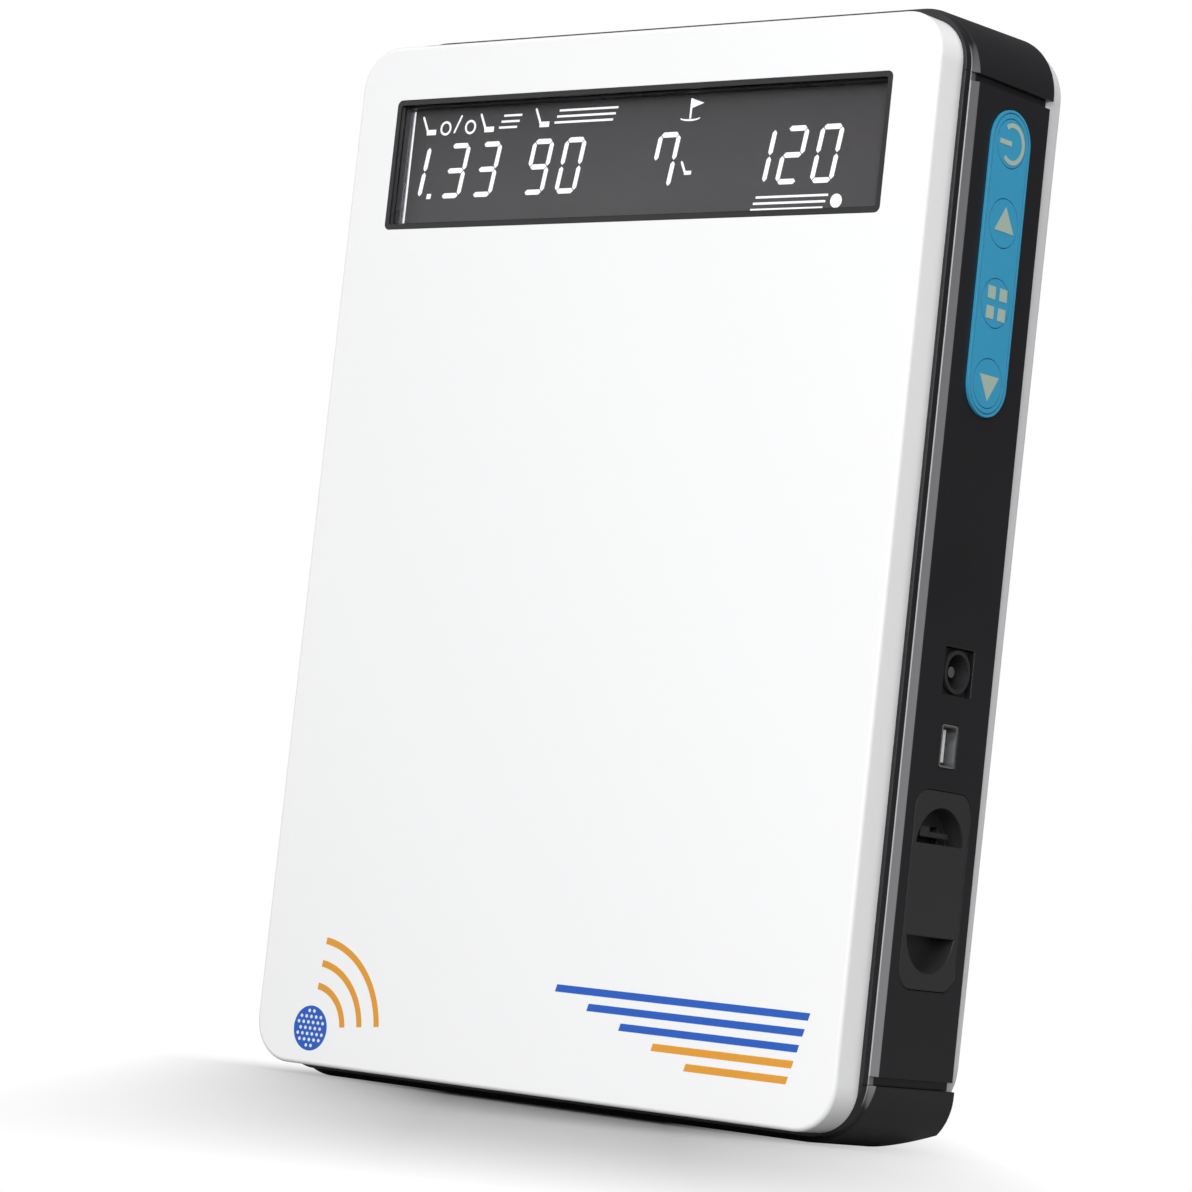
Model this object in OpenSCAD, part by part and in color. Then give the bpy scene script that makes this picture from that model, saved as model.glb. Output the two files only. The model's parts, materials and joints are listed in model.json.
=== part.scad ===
// Portable radar launch monitor: a slim upright box with a white front cover,
// a black body band, side keys, two sockets, a battery drawer and a rear stand.
// Millimetres. +X is the keypad side, -Y is the display side, +Z is up.
// The origin is the centre of the flat underside.

/* [Body] */
// Width of the body across its two side panels
body_w = 143.2; // [142.8:0.2:152]
// Height of the body
body_h = 203.6; // [203:0.2:215]
// Depth of the flat band round the sides
band_d = 22.4; // [22:0.2:24]
// Corner radius of the body band along its front edge
body_r = 14; // [13.4:0.2:15]
// Corner radius at the rear edge of the band, at the two upper corners
top_rear_r = 12; // [11:0.2:13]
// Corner radius at the rear edge of the band, at the two lower corners
low_rear_r = 10.4; // [7:0.2:12]
// Corner radius of the front cover
cover_r = 8.4; // [8:0.2:10]
// Wall thickness of the end caps and side panels
wall = 2.4; // [2.2:0.1:2.6]
// Distance from the bottom of the body to the middle of the lower side groove
groove_low = 12; // [11.6:0.1:12.4]
// Distance from the top of the body to the middle of the upper side groove
groove_high = 13.3; // [12.8:0.1:13.8]
// Height of the groove between an end cap and a side panel
groove_w = 1.6; // [1:0.1:2]
// How much the underside rises between its flat part and its rear edge
sole_rise = 3.2; // [2:0.1:3.4]

/* [Front edge of the body] */
// How far the bevel steps in towards the front cover
bevel_in = 1.1; // [0.9:0.1:1.3]
// Depth of the bevel
bevel_d = 1.5; // [1.2:0.1:1.8]
// Depth of the straight lip in front of the bevel
lip_d = 1.6; // [1.4:0.1:2]

/* [Covers] */
// How far the front cover sits inside the body outline, at its sides and bottom
cover_inset = 1.9; // [1.7:0.1:2]
// How far the front cover sits inside the body outline at the top
cover_top_inset = 2.9; // [2.6:0.1:3]
// How far the rear cover sits inside the body outline
rear_inset = 1.2; // [1:0.1:1.6]
// Depth of the front cover's straight side walls
front_d = 6.8; // [6.4:0.1:7.4]
// Radius of the front cover's rounded edge
front_edge_r = 0.8; // [0.6:0.1:1.2]
// Depth of the rear cover at its bottom edge
rear_d_low = 4; // [3.8:0.1:4.4]
// Depth of the rear cover at its top edge
rear_d_high = 6; // [5.6:0.1:6.4]

/* [Display] */
// Width of the display window with its black border
window_w = 119.4; // [108:0.2:120]
// Height of the display window with its black border
window_h = 25.6; // [22:0.2:26]
// Distance from the top of the front cover down to the window
window_drop = 10.8; // [10:0.2:12]
// Width of the black border round the window
border = 1; // [0.8:0.1:1.4]

/* [Keypad] */
// Width of the blue keypad strip
pad_w = 12; // [11:0.1:12.4]
// Height of the blue keypad strip
pad_h = 55.6; // [55:0.2:58]
// Height of the strip's centre above the underside
pad_z = 158.8; // [157:0.2:160]
// How far the strip sits from the middle of the side panel; negative is forwards
pad_y = -0.4; // [-1:0.1:1]
// Distance between neighbouring keys
key_pitch = 14.5; // [14:0.1:15]
// Diameter of one round key
key_d = 8.8; // [8:0.1:9.2]

/* [Sockets] */
// Height of the power socket's centre above the underside
jack_z = 85.2; // [84:0.2:87]
// How far the power socket sits behind the middle of the side panel
jack_y = 0.4; // [-1:0.1:1]
// Outside diameter of the power socket's round nose
jack_d = 7.8; // [7.4:0.1:8]
// Height of the data socket's centre above the underside
usb_z = 71.9; // [71:0.1:72.5]

/* [Battery drawer] */
// Height of the drawer's centre above the underside
drawer_z = 46.2; // [45:0.2:47]
// Height of the drawer's face
drawer_h = 35.2; // [34.4:0.2:35.4]
// Depth of the drawer's face, from front to back of the body
drawer_w = 16.8; // [16.2:0.1:17.2]
// Height of the flat grip between the two finger pockets
grip_h = 16.3; // [14:0.1:17]
// Depth of the finger pockets
pocket_d = 4; // [3:0.1:4]

/* [Stand] */
// Height of the stand's hinge axis above the underside
stand_axis_z = 118.5; // [110:0.5:122]
// Width of the stand
stand_w = 63; // [50:1:70]
// Height of the stand from its axis down to its foot
stand_h = 91; // [75:0.5:92]

/* [Hidden] */

$fn = 64;
eps = 0.01;
gap = 0.1;
slide_gap = 0.15;

// Main planes
hw = body_w / 2;
mid_z = body_h / 2;
rear_y = band_d / 2;
step_y = -rear_y - bevel_d;
lip_y = step_y - lip_d;
front_y = lip_y - front_d;
inner_x = hw - wall;
cover_w = body_w - 2 * cover_inset;
cover_h = body_h - cover_inset - cover_top_inset;
cover_z = cover_inset + cover_h / 2;
lip_r = body_r - bevel_in - 2;
inner_r = cover_r + cover_inset - wall;

// End caps
cap_y1 = rear_y + 0.9;
sole_t = 2;
crown_t = 1.1;
sole_flat_y = 3;

// Front cover
face_t = 2;
rim_t = 2.2;
rib_t = 1.3;
rib_d = 1.9;
face_back_y = front_y + face_t;

// Chassis
chassis_t = 1.5;
chassis_y0 = lip_y + rib_d + 2 * gap;
chassis_y1 = rear_y - 2 * gap;
chassis_x = inner_x - gap;
chassis_r = inner_r - gap;
bar_h = 4;
bar_y0 = 5.5;
bar_y1 = 8.5;

// Window stack, from the front face backwards
lens_t = 1;
lens_set_back = 0.15;
lens_ledge = 0.4;
window_z = body_h - cover_top_inset - window_drop - window_h / 2;
view_w = window_w - 2 * border;
view_h = window_h - 2 * border;
frame_y0 = front_y + 2.9;
frame_lip = 0.3;
frame_wall = 0.6;
glass_t = 1;
glass_y0 = frame_y0 + frame_lip + gap / 2;
light_y0 = glass_y0 + glass_t + gap / 2;
light_t = 2.2;
frame_y1 = light_y0 + light_t;
glass_w = window_w + 0.4;
glass_h = window_h + 1.2;
frame_w = glass_w + 2 * (frame_wall + gap / 2);
frame_h = glass_h + 2 * (frame_wall + gap / 2);
disp_board_y0 = frame_y1 + gap / 2;
disp_board_t = 1.2;

// Boards
board_t = 1.6;
main_y0 = 2.1;
main_y1 = main_y0 + board_t;
main_x1 = hw - 12;
main_x0 = -main_x1;
main_z0 = 67;
main_z1 = 162;
tab_x1 = hw - 4.5;
tab_z1 = 94;
radar_y0 = front_y + 3.7;
radar_t = 1.2;
radar_y1 = radar_y0 + radar_t;
radar_w = 104;
radar_z0 = 78;
radar_z1 = 160;
standoff_x = 47;
standoff_z = [83, 155];
shield_x = 30;
shield_z0 = 95;
shield_z1 = 145;
shield_d = 4;

// Chips on the main board: left edge, lower edge, width, height
chips = [[-10, 108, 16, 16], [14, 110, 10, 8], [30, 76, 6, 10], [-34, 92, 8, 8]];
chip_t = 1.4;
can_x = -50;
can_z = 73;
can_pitch = 7;
can_d = 5;
can_len = 6;
radio_x = -52;
radio_z = 128;
radio_w = 18;
radio_h = 24;
radio_t = 0.8;

// Screws: x and z of each
front_post_x = hw - 12;
upper_post_x = hw - 16;
front_screw_at = [for (s = [-1, 1], p = [[front_post_x, 20], [front_post_x, 112], [upper_post_x, 157]])
    [s * p[0], p[1]]];
corner_post_x = hw - body_r;
side_post_x = hw - 8;
rear_screw_at = [for (s = [-1, 1], p = [[corner_post_x, body_r], [side_post_x, mid_z],
    [corner_post_x, body_h - body_r]]) [s * p[0], p[1]]];
bar_screw_x = 55;
bar_z = [69, 160];
lug_y0 = -10.5;
lug_t = 1.5;
rear_head_y = rear_y + 1.5;

// Keys
key_z = [for (i = [0 : 3]) pad_z + (1.5 - i) * key_pitch];
pad_flange_t = 1;
pad_proud = 0.5;
pad_face_x = hw + pad_proud;
pad_back_x = inner_x - pad_flange_t;
key_flange_t = 0.7;
key_stem_x = pad_back_x - key_flange_t - 1;
plunger_d = 3.4;
plunger_top_x = key_stem_x - 0.05;
switch_top_x = plunger_top_x - 0.8;
switch_d = 3.1;
switch_size = 6;
key_board_x1 = switch_top_x - switch_d;
key_board_t = 1.2;
key_board_x0 = key_board_x1 - key_board_t;
key_board_w = 10;
rail_y = pad_w / 2 + 1.5;
rail_t = 1.4;

// Power jack: a square body with a round nose
jack_body_x = hw - 1.3;
jack_nose_x = hw - 0.2;
jack_w = 8.6;
jack_h = 8.2;
jack_len = 12;
jack_bore_d = 6.4;
jack_bore_len = 9.5;
jack_pin_d = 2;
jack_pin_x = hw - 1.6;

// Data socket
usb_w = 4.8;
usb_h = 7.7;
usb_len = 9.2;
usb_wall = 0.4;
usb_y = main_y0 - usb_w / 2;
usb_front_x = hw - 0.1;

// Battery drawer and bay
cell_d = 14.2;
cell_len = 50.5;
cell_nub = 1;
cell_pitch = 14.5;
drawer_r = 3.5;
drawer_face_x = hw;
latch_floor = 1.2;
latch_room = 3;
tray_x1 = drawer_face_x - pocket_d - latch_floor - latch_room;
tray_front_wall = 1.2;
cell_x1 = tray_x1 - tray_front_wall - 1.2;
cell_x0 = cell_x1 - cell_len;
tray_x0 = cell_x0 - 1;
bay_wall = 1.3;
bay_x0 = tray_x0 - 2;
bay_x1 = inner_x - gap;
pocket_w = 14.6;
pocket_h = 29.4;

// Latch
latch_w = 9;
latch_z0 = drawer_z + grip_h / 2 + 1.2;
latch_ledge_t = 1;
latch_travel = 1.1;
latch_carriage_h = 5;
latch_x0 = tray_x1 + 0.3;
latch_x1 = tray_x1 + latch_room - 0.2;
latch_top_z = drawer_z + drawer_h / 2 - 0.3;
spring_z0 = drawer_z - 4;
spring_turns = 6;

// Stand
stand_t = 2.4;
stand_y0 = rear_y + 1.4;
stand_axis_y = stand_y0 + 1.3;
barrel_r = 1.55;
pin_r = 0.8;
stand_floor_y = rear_y + 1;
stand_foot_h = 3;
ear = 2.4;

// Rear cover
rear_face_t = 1.8;
rear_edge_r = 1.5;
rear_w = body_w - 2 * rear_inset;
rear_rim = 1.4;
rear_low_z = sole_rise + rear_rim;
rear_h = body_h - rear_inset - rear_low_z;
rear_r = top_rear_r - rear_inset;
rear_mid_z = (rear_low_z + body_h - rear_inset) / 2;
rear_mid_y = rear_y + (rear_d_low + rear_d_high) / 2;
rear_tilt = atan((rear_d_high - rear_d_low) / rear_h);

// ---- Shared shapes ----

// A flat outline in X and Z, given depth from y0 to y1
module slab(y0, y1) {
    translate([0, y1, 0])
        rotate([90, 0, 0])
            linear_extrude(height = y1 - y0)
                children();
}

// A flat outline in Y and Z, given thickness from x0 to x1
module side_slab(x0, x1) {
    translate([x0, 0, 0])
        rotate([90, 0, 90])
            linear_extrude(height = x1 - x0)
                children();
}

// A rectangle with true round corners, centred
module rounded(w, h, r) {
    square([w, h - 2 * r], center = true);
    square([w - 2 * r, h], center = true);
    for (sx = [-1, 1], sy = [-1, 1])
        translate([sx * (w / 2 - r), sy * (h / 2 - r)])
            circle(r);
}

// A straight-sided shape with half-round ends, centred
module stadium(w, h) {
    square([w, h - w], center = true);
    for (s = [-1, 1])
        translate([0, s * (h - w) / 2])
            circle(d = w);
}

// A rounded rectangle about the body's own centre line
module body_outline(inset, r) {
    translate([0, mid_z])
        rounded(body_w - 2 * inset, body_h - 2 * inset, r);
}

// The same for the inside of the body, where the bottom and the top are thicker
module inner_outline(inset, r) {
    translate([0, mid_z + (sole_t - crown_t) / 2])
        rounded(body_w - 2 * inset, body_h - 2 * inset - sole_t - crown_t, r);
}

// A box between two corner points
module span(low, high) {
    translate(low)
        cube(high - low);
}

// A round bar along Y
module bar_y(x, z, y0, y1, r) {
    translate([x, y1, z])
        rotate([90, 0, 0])
            cylinder(h = y1 - y0, r = r);
}

// A round bar along X
module bar_x(y, z, x0, x1, r) {
    translate([x0, y, z])
        rotate([0, 90, 0])
            cylinder(h = x1 - x0, r = r);
}

// Edge section of a cover: x runs outward from the corner centre, y runs inward from the face
module round_edge(reach, depth, r) {
    square([reach - r, depth]);
    translate([0, r])
        square([reach, depth - r]);
    translate([reach - r, r])
        intersection() {
            circle(r);
            translate([0, -r])
                square(r);
        }
}

// A plate whose edge has the section given as a child; its face is at z = 0
module edged_plate(w, h, reach, depth) {
    cx = w / 2 - reach;
    cy = h / 2 - reach;
    translate([-cx, -cy, 0])
        cube([2 * cx, 2 * cy, depth]);
    for (i = [0, 1]) {
        mirror([i, 0, 0]) {
            translate([cx, cy, 0])
                rotate([90, 0, 0])
                    linear_extrude(height = 2 * cy)
                        children();
            for (j = [0, 1])
                mirror([0, j, 0])
                    translate([cx, cy, 0])
                        rotate_extrude(angle = 90)
                            children();
        }
        mirror([0, i, 0])
            translate([-cx, cy, 0])
                rotate([90, 0, 90])
                    linear_extrude(height = 2 * cx)
                        children();
    }
}

// Section of the body band: x runs outward from the corner centre, y is depth
module band_section() {
    polygon([[body_r - wall, lip_y], [body_r - bevel_in, lip_y],
        [body_r - bevel_in, step_y], [body_r, -rear_y],
        [body_r, rear_y], [body_r - wall, rear_y]]);
}

// ---- Housing ----

module front_cover() {
    color("white")
        difference() {
            union() {
                difference() {
                    translate([0, front_y, cover_z])
                        rotate([-90, 0, 0])
                            edged_plate(cover_w, cover_h, cover_r, front_d)
                                round_edge(cover_r, front_d, front_edge_r);
                    slab(face_back_y, lip_y + eps)
                        translate([0, cover_z])
                            rounded(cover_w - 2 * rim_t, cover_h - 2 * rim_t, cover_r - rim_t);
                }
                difference() {
                    slab(face_back_y, lip_y + rib_d)
                        inner_outline(wall + gap, chassis_r);
                    slab(face_back_y - eps, lip_y + rib_d + eps)
                        inner_outline(wall + gap + rib_t, chassis_r - rib_t);
                }
                for (p = front_screw_at)
                    bar_y(p[0], p[1], front_y + face_t / 2, lug_y0 - gap / 2, 3.2);
            }
            slab(front_y - 1, face_back_y + 1)
                translate([0, window_z])
                    rounded(window_w + gap, window_h + gap, 1.2);
            for (p = front_screw_at)
                bar_y(p[0], p[1], lug_y0 - 4, lug_y0 + 1, 1.15);
        }
}

module window_bezel() {
    color("black")
        difference() {
            slab(front_y, frame_y0 - gap / 2)
                translate([0, window_z])
                    rounded(window_w, window_h, 1.15);
            slab(front_y - 1, front_y + lens_set_back + lens_t + gap / 2)
                translate([0, window_z])
                    rounded(view_w, view_h, 0.6);
            slab(front_y - 1, frame_y0 + 1)
                translate([0, window_z])
                    square([view_w - 2 * lens_ledge, view_h - 2 * lens_ledge], center = true);
        }
}

module window_lens() {
    color([0.75, 0.8, 0.82, 0.35])
        slab(front_y + lens_set_back, front_y + lens_set_back + lens_t)
            translate([0, window_z])
                rounded(view_w - gap, view_h - gap, 0.55);
}

// Outline of the band's upper right corner, for a corner radius r
module corner_outline(r) {
    intersection() {
        body_outline(0, r, $fn = 96);
        translate([hw - body_r - 1, body_h - body_r - 1])
            square(body_r + 2);
    }
}

// The band's two upper corners: their radius changes from body_r in front to r behind
module band_corners(r) {
    for (i = [0, 1])
        mirror([i, 0, 0])
            hull() {
                slab(-rear_y, -rear_y + eps)
                    corner_outline(body_r);
                slab(cap_y1 - eps, cap_y1)
                    corner_outline(r);
            }
}

// The body band as a ring: straight lip, bevel, flat band and a thin rear rim.
// Its corners are shaped at one end only: the upper end when low is 0, the lower when it is 1.
module body_ring(low, r) {
    difference() {
        union() {
            slab(lip_y, -rear_y + eps)
                body_outline(bevel_in, lip_r);
            translate([0, step_y, mid_z])
                rotate([-90, 0, 0])
                    edged_plate(body_w, body_h, body_r, bevel_d + eps)
                        polygon([[0, 0], [body_r - bevel_in, 0], [body_r, bevel_d],
                            [body_r, bevel_d + eps], [0, bevel_d + eps]]);
            span([-hw, -rear_y, body_r], [hw, cap_y1, body_h - body_r]);
            span([-hw + body_r, -rear_y, 0], [hw - body_r, cap_y1, body_h]);
            translate([0, 0, low * body_h])
                mirror([0, 0, low])
                    band_corners(r);
        }
        slab(lip_y - 1, rear_y + eps)
            inner_outline(wall, inner_r);
        slab(rear_y, cap_y1 + 1)
            translate([0, rear_mid_z])
                rounded(rear_w + 2 * gap, rear_h + 2 * gap, rear_r + gap);
    }
}

module bottom_cap() {
    color([0.06, 0.06, 0.07])
        difference() {
            intersection() {
                body_ring(1, low_rear_r);
                span([-hw - 1, lip_y - 1, -1], [hw + 1, cap_y1 + 1, groove_low - groove_w / 2]);
            }
            // the underside rises towards the rear
            translate([0, sole_flat_y, 0])
                rotate([atan(sole_rise / (cap_y1 - sole_flat_y)), 0, 0])
                    span([-hw - 1, 0, -5], [hw + 1, 2 * band_d, 0]);
        }
}

module top_cap() {
    color([0.06, 0.06, 0.07])
        intersection() {
            body_ring(0, top_rear_r);
            span([-hw - 1, lip_y - 1, body_h - groove_high + groove_w / 2],
                [hw + 1, cap_y1 + 1, body_h + 1]);
        }
}

// A side panel: full section between the grooves, thinner tongues that run under them
module panel_blank() {
    z0 = groove_low + groove_w / 2;
    z1 = body_h - groove_high - groove_w / 2;
    tongue = groove_w - gap / 2;
    translate([hw - body_r, 0, z0])
        linear_extrude(height = z1 - z0)
            band_section();
    span([inner_x, lip_y, z0 - tongue], [hw - bevel_in, rear_y, z1 + tongue]);
}

module right_panel() {
    color([0.08, 0.08, 0.09])
        difference() {
            panel_blank();
            side_slab(inner_x - 1, hw + 1) {
                translate([pad_y, pad_z])
                    stadium(pad_w + gap, pad_h + gap);
                translate([jack_y, jack_z])
                    square([jack_w + 0.3, jack_h + 0.3], center = true);
                translate([usb_y, usb_z])
                    square([usb_w + 0.3, usb_h + 0.3], center = true);
                translate([0, drawer_z])
                    rounded(drawer_w + 2 * slide_gap, drawer_h + 2 * slide_gap, drawer_r + slide_gap);
            }
        }
}

module left_panel() {
    color([0.08, 0.08, 0.09])
        mirror([1, 0, 0])
            panel_blank();
}

// ---- Chassis ----

module chassis_lug(x, z) {
    side = sign(x);
    bar_y(x, z, lug_y0, lug_y0 + lug_t, 3.5);
    span([min(x, side * (chassis_x - eps)), lug_y0, z - 2],
        [max(x, side * (chassis_x - eps)), lug_y0 + lug_t, z + 2]);
}

module chassis_post(x, z) {
    side = sign(x);
    bar_y(x, z, 0, chassis_y1, 3.4);
    span([min(x, side * (chassis_x - 0.2)), 0, z - 0.8],
        [max(x, side * (chassis_x - 0.2)), chassis_y1, z + 0.8]);
}

module chassis_bar(z) {
    span([-chassis_x + 0.5, bar_y0, z - bar_h / 2], [chassis_x - 0.5, bar_y1, z + bar_h / 2]);
    for (s = [-1, 1])
        bar_y(s * bar_screw_x, z, main_y1 + gap / 2, bar_y0 + eps, bar_h / 2);
}

// A rail that carries one long edge of the key board from behind
module key_board_rail() {
    x0 = key_board_x0 - gap / 2 - rail_t;
    z0 = pad_z - pad_h / 2 + 2;
    z1 = pad_z + pad_h / 2 - 2;
    span([x0, rail_y, z0], [chassis_x - eps, rail_y + rail_t, z1]);
    span([x0, key_board_w / 2 - 1, z0], [x0 + rail_t, rail_y + rail_t, z1]);
}

module chassis() {
    color([0.2, 0.2, 0.22])
        difference() {
            union() {
                difference() {
                    slab(chassis_y0, chassis_y1)
                        inner_outline(wall + gap, chassis_r);
                    slab(chassis_y0 - 1, chassis_y1 + 1)
                        inner_outline(wall + gap + chassis_t, chassis_r - chassis_t);
                }
                for (p = front_screw_at)
                    chassis_lug(p[0], p[1]);
                for (p = rear_screw_at)
                    chassis_post(p[0], p[1]);
                for (z = bar_z)
                    chassis_bar(z);
                for (i = [0, 1])
                    translate([0, pad_y, 0])
                        mirror([0, i, 0])
                            key_board_rail();
            }
            for (p = front_screw_at)
                bar_y(p[0], p[1], lug_y0 - 1, lug_y0 + lug_t + 1, 1.5);
            for (p = rear_screw_at)
                bar_y(p[0], p[1], 1.5, chassis_y1 + 1, 1.25);
            for (z = bar_z, s = [-1, 1])
                bar_y(s * bar_screw_x, z, main_y1 - 1, bar_y1 - 1, 1.05);
            side_slab(chassis_x - chassis_t - 0.5, chassis_x + 1) {
                translate([pad_y, pad_z])
                    square([pad_w + 2.6, pad_h + 4], center = true);
                translate([0, (jack_z + usb_z) / 2])
                    square([jack_w + 3, jack_z - usb_z + jack_h + 3], center = true);
                translate([0, drawer_z])
                    square([drawer_w + 2 * (slide_gap + bay_wall + gap),
                        drawer_h + 2 * (slide_gap + bay_wall + gap)], center = true);
            }
        }
}

// ---- Rear cover ----

// Moves a shape drawn about the rear face's centre into place, leaning with that face
module on_rear_face() {
    translate([0, rear_mid_y, rear_mid_z])
        rotate([90 - rear_tilt, 0, 0])
            children();
}

module rear_cover() {
    block_x = stand_w / 2 + gap * 5 + ear;
    pocket_x = stand_w / 2 + gap * 5;
    block_z0 = stand_axis_z - stand_h - 10;
    color([0.85, 0.85, 0.85])
        difference() {
            intersection() {
                on_rear_face()
                    edged_plate(rear_w, rear_h, rear_r, 2 * rear_d_high)
                        round_edge(rear_r, 2 * rear_d_high, rear_edge_r);
                span([-hw, rear_y, 0], [hw, rear_y + 3 * rear_d_high, body_h]);
            }
            difference() {
                on_rear_face()
                    translate([0, 0, rear_face_t])
                        linear_extrude(height = 2 * rear_d_high)
                            rounded(rear_w - 2 * rim_t, rear_h - 2 * rim_t, rear_r - rim_t);
                span([-block_x, 0, block_z0], [block_x, rear_y + 9, stand_axis_z + 5]);
                for (p = rear_screw_at)
                    bar_y(p[0], p[1], 0, rear_y + 9, 4);
            }
            // pocket for the folded stand
            span([-pocket_x, stand_floor_y, stand_axis_z - stand_h - 1],
                [pocket_x, rear_y + 9, stand_axis_z + barrel_r + 0.3]);
            // finger scoop under the stand's foot
            bar_y(0, stand_axis_z - stand_h - 1, stand_floor_y + 0.4, rear_y + 9, 8);
            // hinge pin holes in the pocket's side walls
            bar_x(stand_axis_y, stand_axis_z, -pocket_x - ear + 0.4, pocket_x + ear - 0.4, pin_r + 0.03);
            for (p = rear_screw_at) {
                bar_y(p[0], p[1], rear_y - 1, rear_y + 9, 1.5);
                bar_y(p[0], p[1], rear_head_y, rear_y + 9, 2.7);
            }
        }
}

// ---- Fasteners ----

// A round-headed screw along Y: its head starts at y and its shank runs the other way.
// way is 1 when the head lies on the +Y side.
module screw(x, z, y, way, head_r, head_t, shank_r, shank_len) {
    bar_y(x, z, min(y, y + way * head_t), max(y, y + way * head_t), head_r);
    bar_y(x, z, min(y, y - way * shank_len), max(y, y - way * shank_len), shank_r);
}

// The cross cut in a screw head
module cross_cut(x, z, y, way, reach) {
    depth = 0.7;
    for (a = [0, 90])
        translate([x, y - way * depth / 2 + way * eps, z])
            rotate([0, a, 0])
                cube([2 * reach, depth + 2 * eps, 0.5], center = true);
}

module front_screws() {
    color("silver")
        for (p = front_screw_at)
            difference() {
                screw(p[0], p[1], lug_y0 + lug_t + gap / 2, 1, 2.3, 1.4, 1.05, 5);
                cross_cut(p[0], p[1], lug_y0 + lug_t + gap / 2 + 1.4, 1, 1.3);
            }
}

module rear_screws() {
    color("dimgray")
        for (p = rear_screw_at)
            difference() {
                screw(p[0], p[1], rear_head_y + gap / 2, 1, 2.4, 1.6, 1.2, 9);
                cross_cut(p[0], p[1], rear_head_y + gap / 2 + 1.6, 1, 1.4);
            }
}

module board_screws() {
    color("silver") {
        for (s = [-1, 1], z = standoff_z) {
            screw(s * standoff_x, z, radar_y0, -1, 1.9, 1, 1.2, 6);
            screw(s * standoff_x, z, main_y1, 1, 1.9, 1, 1.2, 5);
        }
        for (s = [-1, 1], z = bar_z)
            screw(s * bar_screw_x, z, main_y0, -1, 1.9, 1, 1, 5);
    }
}

// ---- Display ----

module lcd_frame() {
    color("silver")
        translate([0, 0, window_z])
            difference() {
                slab(frame_y0, frame_y1)
                    square([frame_w, frame_h], center = true);
                slab(frame_y0 + frame_lip, frame_y1 + 1)
                    square([glass_w + gap, glass_h + gap], center = true);
                slab(frame_y0 - 1, frame_y1 + 1)
                    square([view_w - 2 * lens_ledge - 0.8, view_h - 2 * lens_ledge + gap], center = true);
            }
}

module lcd_glass() {
    color([0.25, 0.25, 0.25])
        translate([0, 0, window_z])
            slab(glass_y0, glass_y0 + glass_t)
                square([glass_w, glass_h], center = true);
}

module backlight() {
    color([0.9, 0.9, 0.85])
        translate([0, 0, window_z])
            slab(light_y0, light_y0 + light_t)
                square([glass_w, glass_h], center = true);
}

module display_board() {
    color("darkgreen")
        translate([0, 0, window_z])
            slab(disp_board_y0, disp_board_y0 + disp_board_t)
                square([frame_w, frame_h], center = true);
}

// Flat flex that wraps under the display from the glass to the display board
module lcd_flex() {
    z0 = window_z - frame_h / 2;
    t = 0.3;
    y0 = glass_y0 + 0.3;
    y1 = disp_board_y0 + disp_board_t + t + gap / 2;
    color([0.75, 0.5, 0.2])
        translate([-25, 0, 0])
            side_slab(0, 50)
                polygon([[y0, z0 - gap], [y0, z0 - 1.5], [y1, z0 - 1.5], [y1, z0 + 4],
                    [y1 - t, z0 + 4], [y1 - t, z0 - 1.5 + t], [y0 + t, z0 - 1.5 + t], [y0 + t, z0 - gap]]);
}

// Ribbon from the display board down to the main board
module display_cable() {
    y0 = disp_board_y0 + disp_board_t + gap / 2;
    y1 = main_y0 - gap / 2;
    z0 = window_z - 2;
    z1 = main_z1 - 11;
    t = 0.3;
    color([0.9, 0.9, 0.9])
        side_slab(27, 42)
            polygon([[y0, z0], [y0, z1 - t], [y1 - t, z1 - t], [y1 - t, z1 - 6],
                [y1, z1 - 6], [y1, z1], [y0 + t, z1], [y0 + t, z0]]);
}

// ---- Boards ----

module main_board() {
    color("darkgreen")
        difference() {
            slab(main_y0, main_y1) {
                translate([main_x0, main_z0])
                    square([main_x1 - main_x0, main_z1 - main_z0]);
                translate([main_x1 - 1, main_z0])
                    square([tab_x1 - main_x1 + 1, tab_z1 - main_z0]);
            }
            // notch that the power jack sits in
            span([jack_body_x - jack_len - 0.3, main_y0 - 1, jack_z - jack_h / 2 - 0.2],
                [tab_x1 + 1, main_y1 + 1, jack_z + jack_h / 2 + 0.2]);
            for (s = [-1, 1], z = standoff_z)
                bar_y(s * standoff_x, z, main_y0 - 1, main_y1 + 1, 1.4);
            for (s = [-1, 1], z = bar_z)
                bar_y(s * bar_screw_x, z, main_y0 - 1, main_y1 + 1, 1.2);
        }
}

// Flat chips and a row of can capacitors on the front of the main board
module main_chips() {
    color([0.12, 0.12, 0.12]) {
        for (c = chips)
            span([c[0], main_y0 - chip_t, c[1]], [c[0] + c[2], main_y0, c[1] + c[3]]);
        for (i = [0 : 3])
            bar_y(can_x + i * can_pitch, can_z, main_y0 - can_len, main_y0, can_d / 2);
    }
}

// A small board with a metal can over its lower part
module wireless_module() {
    can_t = 1.8;
    color("silver") {
        span([radio_x, main_y0 - radio_t, radio_z], [radio_x + radio_w, main_y0, radio_z + radio_h]);
        span([radio_x + 1, main_y0 - radio_t - can_t, radio_z + 1],
            [radio_x + radio_w - 1, main_y0 - radio_t, radio_z + radio_h - 7]);
    }
}

module radar_board() {
    color([0.1, 0.35, 0.25])
        difference() {
            slab(radar_y0, radar_y1)
                translate([-radar_w / 2, radar_z0])
                    square([radar_w, radar_z1 - radar_z0]);
            for (s = [-1, 1], z = standoff_z)
                bar_y(s * standoff_x, z, radar_y0 - 1, radar_y1 + 1, 1.4);
        }
}

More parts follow.
